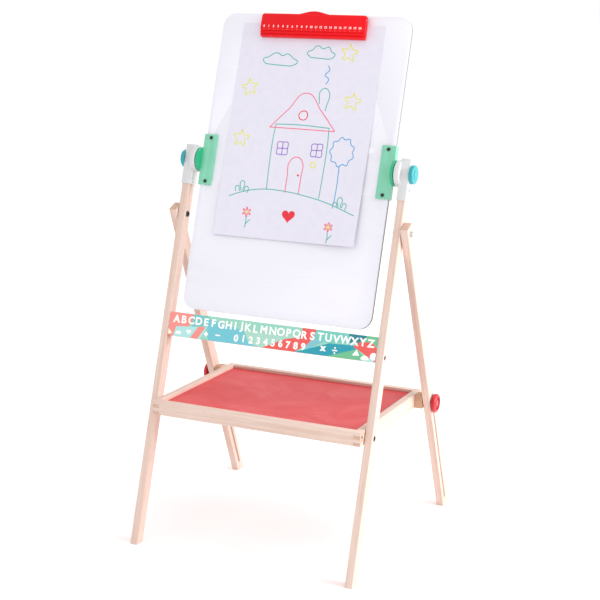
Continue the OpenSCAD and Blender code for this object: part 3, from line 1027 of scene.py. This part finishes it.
@dataclass
class LetterStrip(Assembly):
    """The printed strip between the front legs: capitals, digits and shapes on colour patches.

    Heights are measured up from the strip's lower edge.
    """

    letters: str = "ABCDEFGHIJKLMNOPQRSTUVWXYZ"
    letter_height: float = 14.6
    letter_y: float = 33.8
    first_x: float = -201.0
    last_x: float = 205.0
    digit_height: float = 13.0
    digit_y: float = 11.6
    digit_from: float = -68.4
    digit_step: float = 15.6
    bold: float = 0.75
    patch_rise: float = 0.05
    patch_step: float = 0.008
    print_rise: float = 0.22
    right_edge: float = 216.9
    letter_hop: float = 0.6
    digit_hop: float = 0.5
    sign_bold: float = 1.1
    wide: dict[str, float] = field(
        default_factory=lambda: {"I": 0.72, "J": 0.86, "L": 0.9, "M": 1.22, "W": 1.22, "N": 1.08}
    )
    patches: tuple[tuple[str, list[Point]], ...] = (
        ("coral", [(-217, 46.4), (-165, 46.4), (-167, 31), (-174, 21), (-200, 19), (-205, 0),
                   (-217, 0)]),
        ("teal", [(-165, 46.4), (-131, 46.4), (-133, 25), (-166, 22), (-167, 31)]),
        ("aqua", [(-200, 19.5), (-133, 25), (-145, 0), (-205, 0)]),
        ("coral", [(-152, 24), (-136, 24), (-151, 0), (-167, 0)]),
        ("sky", [(-131, 40), (-55, 27), (-40, 7), (-20, 0), (-127, 0), (-133, 22)]),
        ("sage", [(-55, 28), (62, 30), (34, 21), (-10, 0), (-22, 0), (-42, 7)]),
        ("red", [(66, 46.4), (94, 46.4), (91, 30), (77, 14), (55, 0), (-12, 0), (34, 22),
                 (63, 28)]),
        ("steel", [(91, 30), (118, 29), (79, 7), (76, 13)]),
        ("mint", [(94, 46.4), (160, 46.4), (163, 30), (123, 24), (91, 30)]),
        ("ocean", [(123, 24), (170, 26), (179, 19), (121, 0), (55, 0), (79, 8)]),
        ("pine", [(160, 46.4), (196, 46.4), (182, 32), (163, 30)]),
        ("green", [(196, 46.4), (217, 46.4), (217, 28), (207, 35), (182, 32)]),
        ("red", [(182, 33), (207, 36), (217, 26), (217, 0), (199, 10), (171, 24)]),
        ("green", [(179, 20), (199, 4), (199, 0), (121, 0)]),
        ("aqua", [(199, 10), (217, 0), (190, 0), (193, 4)]),
    )
    inks: dict[str, Colour] = field(
        default_factory=lambda: {
            "coral": shade(240, 140, 132), "teal": shade(112, 192, 190),
            "aqua": shade(172, 222, 220), "sky": shade(108, 192, 206),
            "sage": shade(165, 212, 194), "red": shade(232, 84, 80),
            "steel": shade(122, 190, 202), "mint": shade(110, 198, 184),
            "ocean": shade(0, 152, 172), "pine": shade(0, 122, 138),
            "green": shade(104, 186, 140),
        }
    )

    def build(self) -> None:
        """Prints the strip: its patches, then its characters and shapes."""
        self.dress(self.ink("ground", shade(146, 208, 188), 0.2), "letter_strip")
        where = self.face()
        inks = {name: self.ink(name, tone, 0.25) for name, tone in self.inks.items()}
        for number, (ink, corners) in enumerate(self.patches):
            rise = self.patch_rise + self.patch_step * number
            piece = FlatWork.patch(f"print_patch_{number:02d}", corners, rise)
            self.fix(piece, inks[ink], where)
        white = self.ink("white", shade(250, 250, 246), 0.15)
        cream = self.ink("cream", shade(250, 240, 214), 0.2)
        self.fix(self.capitals(), white, where)
        self.fix(self.digits(), white, where)
        self.fix(self.shapes(), white, where)
        corner = FlatWork.patch(
            "print_cream_corner", [(-216, 3), (-216, 14), (-207, 5)], self.print_rise
        )
        self.fix(corner, cream, where)

    @staticmethod
    def ink(name: str, tone: Colour, unevenness: float) -> bpy.types.Material:
        """Mixes one printing ink.

        Args:
            name: The ink's name, without print_.
            tone: Its colour.
            unevenness: How patchy its lay-down is.

        Returns:
            The ink's material.
        """
        return MattInk(f"print_{name}", tone, unevenness, roughness=0.45).material()

    def face(self) -> Matrix:
        """Finds the strip's front face: its lower edge, with Y up the legs and Z outwards."""
        tray, axle = joint_pin("tray_fold"), joint_pin("board_turn")
        up = Vector((0.0, axle.y - tray.y, axle.z - tray.z)).normalized()
        out = Vector((0.0, -up.z, up.y))
        corners = [v.co for v in frame["nodes"]["letter_strip"].data.vertices]
        foot = out * max(c.dot(out) for c in corners) + up * min(c.dot(up) for c in corners)
        across = Vector((1.0, 0.0, 0.0))
        return Matrix(
            [(across[i], up[i], out[i], foot[i]) for i in range(3)] + [(0, 0, 0, 1)]
        )

    def fix(
        self, piece: bpy.types.Object, material: bpy.types.Material, where: Matrix
    ) -> None:
        """Prints a finished piece onto the strip.

        Args:
            piece: The flat piece.
            material: Its ink.
            where: The strip's face.
        """
        Workshop.coat(piece, material)
        Workshop.seat(piece, where)
        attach(piece, "root")
        log.info("printed %s", piece.name)

    def capitals(self) -> bpy.types.Object:
        """Makes the row of capitals, each a touch higher or lower than the last."""
        widths = [self.wide.get(c, 1.0) for c in self.letters]
        middles = [sum(widths[:i]) + widths[i] / 2 for i in range(len(widths))]
        reach = middles[-1] - middles[0]
        hop = random.Random(5)
        made = []
        for letter, middle in zip(self.letters, middles):
            x = self.first_x + (self.last_x - self.first_x) * (middle - middles[0]) / reach
            y = self.letter_y + hop.uniform(-self.letter_hop, self.letter_hop)
            made.append(
                FlatWork.characters(
                    letter, self.letter_height, (x, y), self.bold, self.print_rise
                )
            )
        return Workshop.join(made, "print_capitals")

    def digits(self) -> bpy.types.Object:
        """Makes the row of digits and the sums' signs."""
        hop = random.Random(8)
        made = [
            FlatWork.characters(
                str(n), self.digit_height,
                (
                    self.digit_from + n * self.digit_step,
                    self.digit_y + hop.uniform(-self.digit_hop, self.digit_hop),
                ),
                self.bold, self.print_rise,
            )
            for n in range(10)
        ]
        for sign, height, middle in (("+", 10.5, (-133.5, 11.5)), ("x", 11.5, (112, 13))):
            made.append(
                FlatWork.characters(sign, height, middle, self.sign_bold, self.print_rise)
            )
        for name, left, low, high in (("minus", -113, 10.6, 13.2), ("bar", 131, 11, 13.4)):
            corners = [(left, low), (left + 10, low), (left + 10, high), (left, high)]
            made.append(FlatWork.patch(name, corners, self.print_rise))
        for y in (7.4, 17.0):
            dot = FlatWork.wheel((136, y), 45, 8, (1.7, 1.7))
            made.append(FlatWork.patch("dot", dot, self.print_rise, rounded=True))
        return Workshop.join(made, "print_digits")

    def shapes(self) -> bpy.types.Object:
        """Makes the plain shapes at both ends of the lower row."""
        disc = FlatWork.wheel((213, 10), 180 / 14, 28, (7, 7))
        outlines = {
            "bow": FlatWork.wheel((-193.5, 5), 18, 11, (6.5, 6.5)),
            "heart": self.heart(-171.5, 11.5, 10.5),
            "triangle": [(170.5, 7.5), (185, 8.5), (179, 19.5)],
            "half_disc": FlatWork.wheel((196, 2.2), 18, 11, (8, 8)),
            "disc": [(min(x, self.right_edge), y) for x, y in disc],
        }
        made = [
            FlatWork.patch(name, corners, self.print_rise, rounded=name == "heart")
            for name, corners in outlines.items()
        ]
        return Workshop.join(made, "print_shapes")

    @staticmethod
    def heart(x: float, y: float, width: float) -> list[Point]:
        """Gives the outline of a heart.

        Args:
            x: Its middle across.
            y: Its middle in height.
            width: Its width.

        Returns:
            The points of its outline, in the same unit.
        """
        scale = width / 32
        return [
            (
                x + scale * 16 * math.sin(t) ** 3,
                y + scale * (13 * math.cos(t) - 5 * math.cos(2 * t) - 2 * math.cos(3 * t)
                             - math.cos(4 * t)),
            )
            for t in (2 * math.pi * i / 28 for i in range(28))
        ]


@dataclass
class BoardFace:
    """The board's front face: its middle, with Y up the board and Z out of the face."""

    tilt: float = 18.0
    half_thickness: float = 3.5

    def matrix(self, proud: float = 0.0) -> Matrix:
        """Finds the face's place.

        Args:
            proud: How far in front of the face, in millimetres.

        Returns:
            The place, in metres.
        """
        pin = joint_pin("board_turn")
        board = Matrix.Translation((0.0, pin.y, pin.z)) @ Matrix.Rotation(
            math.radians(-self.tilt), 4, "X"
        )
        face = Matrix.Translation((0.0, -(self.half_thickness + proud) * MM, 0.0))
        return board @ face @ Matrix.Rotation(math.radians(90), 4, "X")


@dataclass
class HungDrawing:
    """The sheet of paper under the clip, and the felt-tip drawing on it."""

    face: BoardFace
    width: float = 297.0
    length: float = 420.0
    top: float = 275.0
    middle: float = -3.0
    thickness: float = 0.22
    line: float = 1.7
    height: float = 0.3
    cage_depth: float = 0.02
    clip_share: float = 0.25
    edge_lift: float = 1.2
    right_lift: float = 8.5
    left_lift: float = 2.2
    wave_height: float = 0.7
    inks: dict[str, Colour] = field(
        default_factory=lambda: {
            "teal": shade(84, 178, 170), "pink": shade(234, 108, 134),
            "yellow": shade(222, 220, 66), "red": shade(226, 36, 52),
            "violet": shade(150, 116, 198), "blue": shade(78, 158, 208),
        }
    )

    def build(self) -> None:
        """Makes the sheet and its drawing, and lets both hang alike."""
        cage = self.cage()
        paper = self.sheet()
        pieces = [paper]
        Workshop.coat(paper, DrawingPaper().material())
        for name, (lines, filled) in self.strokes().items():
            piece = self.ink_lines(name, lines, filled)
            Workshop.coat(piece, MattInk(f"felt_tip_{name}", self.inks[name], 0.2).material())
            pieces.append(piece)
        for piece in pieces:
            Workshop.apply(piece, "LATTICE", object=cage)
            Workshop.seat(piece, self.face.matrix(0.15))
            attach(piece, "board")
            log.info("hung %s", piece.name)
        bpy.data.objects.remove(cage)
        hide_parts("drawing_sheet")

    def sheet(self) -> bpy.types.Object:
        """Makes the flat sheet with its faces fine enough to curl."""
        Workshop.clear()
        bpy.ops.mesh.primitive_grid_add(
            x_subdivisions=36, y_subdivisions=52, size=1.0,
            location=(self.middle * MM, (self.top - self.length / 2) * MM, 0.0),
        )
        paper = bpy.context.view_layer.objects.active
        paper.name = "hung_paper"
        paper.scale = (self.width * MM, self.length * MM, 1.0)
        bpy.ops.object.transform_apply(location=True, rotation=True, scale=True)
        Workshop.apply(paper, "SOLIDIFY", thickness=self.thickness * MM, offset=0.0)
        Workshop.smooth(paper)
        return paper

    def cage(self) -> bpy.types.Object:
        """Makes the cage that bends the sheet: flat under the clip, free at the lower edge."""
        Workshop.clear()
        bpy.ops.object.add(
            type="LATTICE",
            location=(self.middle * MM, (self.top - self.length / 2) * MM, 0.0),
        )
        cage = bpy.context.view_layer.objects.active
        cage.name = "paper_cage"
        cage.scale = (self.width * MM, self.length * MM, self.cage_depth)
        across, down = 6, 8
        cage.data.points_u, cage.data.points_v, cage.data.points_w = across, down, 2
        for number, point in enumerate(cage.data.points):
            u = number % across / (across - 1)
            v = 1.0 - number // across % down / (down - 1)
            hang = max(0.0, v - self.clip_share) / (1.0 - self.clip_share)
            sides = self.right_lift * u**2.2 + self.left_lift * (1 - u) ** 3
            lift = hang**1.6 * (self.edge_lift + sides)
            wave = self.wave_height * hang * math.sin(math.pi * (1.3 * u + 0.6 * v))
            point.co_deform.z += (lift + wave) * MM / self.cage_depth
        return cage

    def ink_lines(
        self, name: str, lines: list[list[Point]], filled: list[list[Point]]
    ) -> bpy.types.Object:
        """Draws one colour's lines and filled shapes.

        Args:
            name: The colour's name.
            lines: Open and closed lines in millimetres.
            filled: Outlines that are coloured in.

        Returns:
            The colour's mesh.
        """
        made = []
        piece = FlatWork.outline(f"felt_{name}", lines, closed=False, rounded=True)
        piece.data.bevel_depth = self.line * MM
        piece.data.bevel_resolution = 1
        piece.data.use_fill_caps = True
        piece = Workshop.to_mesh(piece)
        Workshop.hold(piece)
        piece.scale = (1.0, 1.0, self.height / (2 * self.line))
        bpy.ops.object.transform_apply(location=False, rotation=False, scale=True)
        made.append(piece)
        for corners in filled:
            made.append(
                FlatWork.patch(f"felt_{name}_fill", corners, self.height * 0.45, rounded=True)
            )
        piece = Workshop.join(made, f"felt_tip_{name}")
        Workshop.smooth(piece, 60.0)
        return piece

    def strokes(self) -> dict[str, tuple[list[list[Point]], list[list[Point]]]]:
        """Lays out the drawing: a house on a hill with a tree, flowers, clouds and stars.

        Returns:
            For each colour, its lines and its filled shapes.
        """
        hand = random.Random(21)
        yellow = [
            FlatWork.wheel((x, y), -36, 11, (17, 17), (8.84, 8.84), start=90 - turn)
            for x, y, turn in ((79, 222, 6), (-119, 148, -10), (99, 129, 8), (-122, 47, 4))
        ]
        yellow.append(FlatWork.wheel((38, 4), 36, 11, (5.5, 5.5)))
        hill = [(-129, -68), (-100, -57), (-62, -50), (-20, -50), (30, -56), (80, -67),
                (136, -86)]
        teal = [
            hill,
            [(-52, -50), (-53, -8), (-54, 52), (-52, 78)],
            [(60, -60), (61, -10), (61, 40), (60, 76)],
            [(-52, 78), (0, 79), (60, 76)],
            [(32, 122), (33, 150), (46, 150), (46, 108)],
            self.tuft(-104, -56), self.tuft(104, -74),
            self.cloud(-62, 196, 30), self.cloud(22, 212, 0),
        ]
        pink = [
            [(-64, 72), (-30, 108), (3, 142), (38, 108), (72, 70)],
            [(-64, 72), (-2, 71), (72, 70)],
            [(-12, -53), (-12, -20), (-11, 8), (2, 17), (15, 8), (16, -20), (16, -55)],
        ]
        violet = [
            self.box(-42, 20, 22, 24), self.box(30, 20, 22, 24),
            [(-31, 20), (-31, 44)], [(-42, 32), (-20, 32)],
            [(41, 20), (41, 44)], [(30, 32), (52, 32)],
        ]
        blue = [
            [(40, 160), (44, 170), (36, 178), (44, 188), (40, 196)],
            [(92, -68), (93, -30), (92, 6)],
            FlatWork.wheel((93, 32), 20, 19, (21, 24), (25, 28.75)),
        ]
        red = [
            FlatWork.wheel((3, 98), 36, 11, (9, 9)), FlatWork.wheel((10, -18), 36, 11, (1.2, 1.2))
        ]
        for x, y in ((-86, -96), (88, -112)):
            pink.append(FlatWork.wheel((x, y), 30, 13, (4.05, 4.05), (9, 9)))
            teal.append([(x, y - 9), (x + 1.5, y - 20), (x, y - 31)])
            teal.append([(x, y - 24), (x + 7, y - 17), (x + 9, y - 14)])
            yellow.append(FlatWork.wheel((x, y), 36, 11, (2.2, 2.2)))
        plain = {
            "teal": teal, "pink": pink, "yellow": yellow, "red": red, "violet": violet,
            "blue": blue,
        }
        return {
            name: (
                [[(x + hand.uniform(-0.5, 0.5), y + hand.uniform(-0.5, 0.5)) for x, y in line]
                 for line in lines],
                [LetterStrip.heart(2, -97, 27)] if name == "red" else [],
            )
            for name, lines in plain.items()
        }

    @staticmethod
    def box(x: float, y: float, width: float, height: float) -> list[Point]:
        """Draws a square window.

        Args:
            x: Its left edge.
            y: Its lower edge.
            width: Its width.
            height: Its height.

        Returns:
            Its line, with points near the corners so that they stay crisp.
        """
        corners = [(x, y), (x + width, y), (x + width, y + height), (x, y + height), (x, y)]
        line = []
        for (x0, y0), (x1, y1) in zip(corners, corners[1:]):
            line += [(x0 + (x1 - x0) * t, y0 + (y1 - y0) * t) for t in (0.06, 0.5, 0.94)]
        return [*line, line[0]]

    @staticmethod
    def tuft(x: float, y: float) -> list[Point]:
        """Draws a tuft of grass with three blades.

        Args:
            x: Its middle across.
            y: Its foot.

        Returns:
            Its line.
        """
        return [
            (x - 13, y - 2), (x - 13, y + 8), (x - 7, y + 9), (x - 4, y + 1), (x - 5, y + 15),
            (x, y + 20), (x + 5, y + 15), (x + 4, y + 1), (x + 8, y + 9), (x + 13, y + 7),
            (x + 12, y - 4),
        ]

    @staticmethod
    def cloud(x: float, y: float, wide: float) -> list[Point]:
        """Draws a cloud of round puffs.

        Args:
            x: Its middle across.
            y: Its foot.
            wide: How much longer it is than the small one.

        Returns:
            Its line, which ends where it starts.
        """
        reach = 24 + wide / 4
        return [
            (x - reach, y), (x - reach - 6, y + 8), (x - reach + 4, y + 13), (x - 10, y + 22),
            (x + 3, y + 17), (x + 13, y + 20), (x + reach - 4, y + 11), (x + reach + 4, y + 6),
            (x + reach, y), (x, y - 2), (x - reach, y),
        ]


# ---- Board and clip ----


@dataclass
class TurningBoard(Assembly):
    """The two-sided board with its brackets, toothed discs, axles and knobs."""

    sheet_ease: float = 0.3
    bracket_ease: float = 0.9

    def build(self) -> None:
        """Shows the board's parts in their finishes."""
        mint = MouldedPlastic(
            "mint_plastic", shade(128, 205, 174), roughness=0.3, coat=0.15
        ).material()
        emerald = MouldedPlastic("emerald_plastic", shade(24, 176, 126), coat=0.2).material()
        aqua = MouldedPlastic(
            "turquoise_plastic", shade(34, 162, 170), roughness=0.24, coat=0.25
        ).material()
        steel = PlatedSteel("axle_steel").material()
        dark = PlatedSteel(
            "bracket_screw_steel", (0.06, 0.07, 0.065), roughness=0.32, metal=0.8
        ).material()
        self.ease(WhiteboardSkin().material(), self.sheet_ease, "whiteboard_sheet")
        self.ease(ChalkboardSkin().material(), self.sheet_ease, "chalkboard_sheet")
        self.dress(PressedCore().material(), "board_core")
        self.ease(mint, self.bracket_ease, "board_bracket_left", "board_bracket_right")
        self.dress(emerald, "index_disc_left", "index_disc_right")
        self.dress(aqua, "board_knob_left", "board_knob_right")
        self.dress(steel, "board_axles")
        self.dress(dark, "bracket_screws")


@dataclass
class PaperClip(Assembly):
    """The spring clip at the top of the board, with the ruler on its jaw."""

    face: BoardFace
    front: float = 14.02
    tick_front: float = 13.72
    first_mark: float = -101.0
    marks: int = 21
    number_height: float = 4.4
    number_y: float = 266.5
    tick_top: float = 263.4
    mark_gap: float = 10.0
    ticks_in_mark: int = 5
    long_tick: Point = (3.4, 0.32)
    short_tick: Point = (2.0, 0.22)
    rise: float = 0.06
    jaw_ease: float = 0.35

    def build(self) -> None:
        """Shows the clip in its finishes and prints the ruler on its jaw."""
        red = MouldedPlastic(
            "clip_red_plastic", shade(232, 8, 22), roughness=0.34, coat=0.04, marks=0.06, shine=0.2
        ).material()
        steel = PlatedSteel("spring_steel").material()
        self.ease(red, self.jaw_ease, "clip_jaw", "clip_base")
        self.dress(steel, "clip_base_rivets", "clip_pin", "clip_spring")
        white = MattInk("ruler_ink", shade(250, 226, 224), 0.2, 0.5).material()
        for piece, proud in ((self.numbers(), self.front), (self.ticks(), self.tick_front)):
            Workshop.coat(piece, white)
            Workshop.seat(piece, self.face.matrix(proud))
            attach(piece, "clip_jaw")
            log.info("printed %s", piece.name)

    def numbers(self) -> bpy.types.Object:
        """Makes the ruler's numbers, one for each centimetre."""
        made = [
            FlatWork.characters(
                str(n), self.number_height,
                (self.first_mark + self.mark_gap * n, self.number_y), 0.2, self.rise,
            )
            for n in range(self.marks)
        ]
        return Workshop.join(made, "ruler_numbers")

    def ticks(self) -> bpy.types.Object:
        """Makes the ruler's ticks: long for a centimetre, shorter for its parts."""
        made = []
        for step in range((self.marks - 1) * self.ticks_in_mark + 1):
            x = self.first_mark + self.mark_gap / self.ticks_in_mark * step
            drop, half = self.short_tick if step % self.ticks_in_mark else self.long_tick
            made.append(
                FlatWork.patch(
                    "tick",
                    [(x - half, self.tick_top - drop), (x + half, self.tick_top - drop),
                     (x + half, self.tick_top), (x - half, self.tick_top)],
                    self.rise,
                )
            )
        return Workshop.join(made, "ruler_ticks")


def main() -> None:
    """Builds the camera, the studio and each sub-assembly in turn."""
    logging.basicConfig(level=logging.INFO, format="%(message)s")
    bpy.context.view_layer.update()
    Viewpoint().build()
    Studio().build()
    face = BoardFace()
    for part in (
        FrontFrame(), BackLegs(), Tray(), LetterStrip(), TurningBoard(), HungDrawing(face),
        PaperClip(face=face),
    ):
        part.build()
        log.info("built %s", type(part).__name__)


if __name__ == "__main__":
    main()
